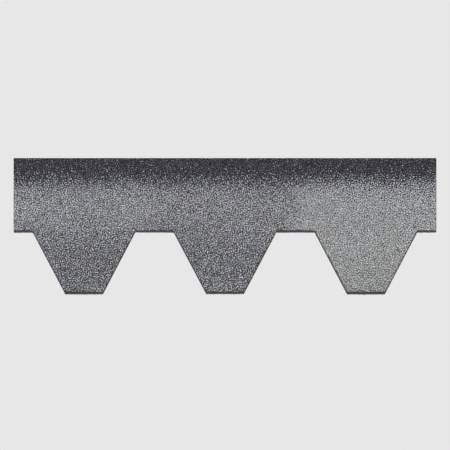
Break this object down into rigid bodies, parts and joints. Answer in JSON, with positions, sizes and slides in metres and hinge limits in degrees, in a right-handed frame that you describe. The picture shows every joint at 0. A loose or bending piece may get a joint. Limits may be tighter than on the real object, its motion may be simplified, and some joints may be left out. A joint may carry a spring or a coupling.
{
  "type": "hexagonal asphalt shingle strip",
  "caption": "Flat die-cut bitumen roof shingle with trapezoid tabs that show as hexagons when laid in half-stepped courses, granule face up.",
  "frame": {"origin": "underside of the strip, in the middle of its length and width", "axes": "+X along the strip, +Y up the roof slope from the tab tips to the headlap edge, +Z out of the roof from the underside to the granule face"},
  "size_m": [1, 0.317, 0.0032],
  "materials": {
    "mineral_granules": "matte",
    "bitumen": "satin"
  },
  "bodies": {
    "root": {"shingle_strip": "mineral_granules"}
  },
  "joints": []
}
